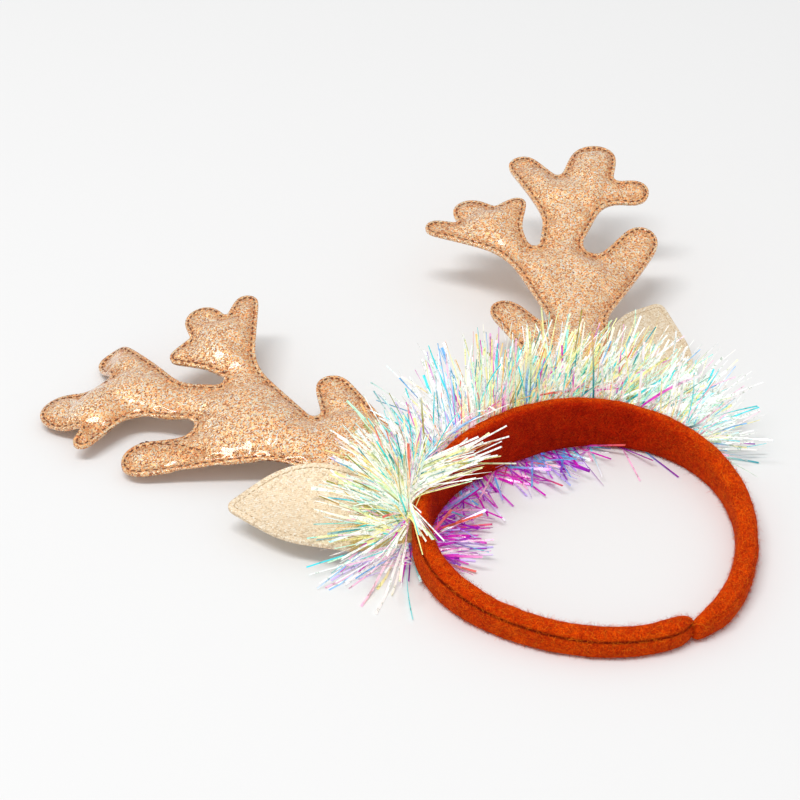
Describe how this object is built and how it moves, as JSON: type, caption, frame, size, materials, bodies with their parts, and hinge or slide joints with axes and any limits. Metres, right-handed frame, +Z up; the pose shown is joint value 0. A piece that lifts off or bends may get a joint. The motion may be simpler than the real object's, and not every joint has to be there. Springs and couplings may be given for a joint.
{
  "type": "reindeer antler headband",
  "caption": "C-shaped felt-covered headband with padded glitter antlers, cupped cloth ears and a tinsel garland round its crown, lying on its lower edge.",
  "frame": {"origin": "centre of the bounding box on the floor that the headband lies on", "axes": "+Z up from the floor, +Y from the band's open tips through its crown towards the antlers, +X towards the antler on the right of the picture"},
  "size_m": [0.3162, 0.2908, 0.0569],
  "materials": {
    "felt": "rust-orange wool felt with loose fibres",
    "glitter_vinyl": "rose-gold glitter cloth under a clear glossy film, sewn rim",
    "lame": "beige-gold lame cloth with a fine sparkle",
    "tinsel": "iridescent white film strips with cyan, yellow and magenta glints"
  },
  "bodies": {
    "root": {"felt_band": "felt", "antler_left": "glitter_vinyl", "antler_right": "glitter_vinyl", "ear_left": "lame", "ear_right": "lame", "tinsel_garland": "tinsel"}
  },
  "joints": []
}
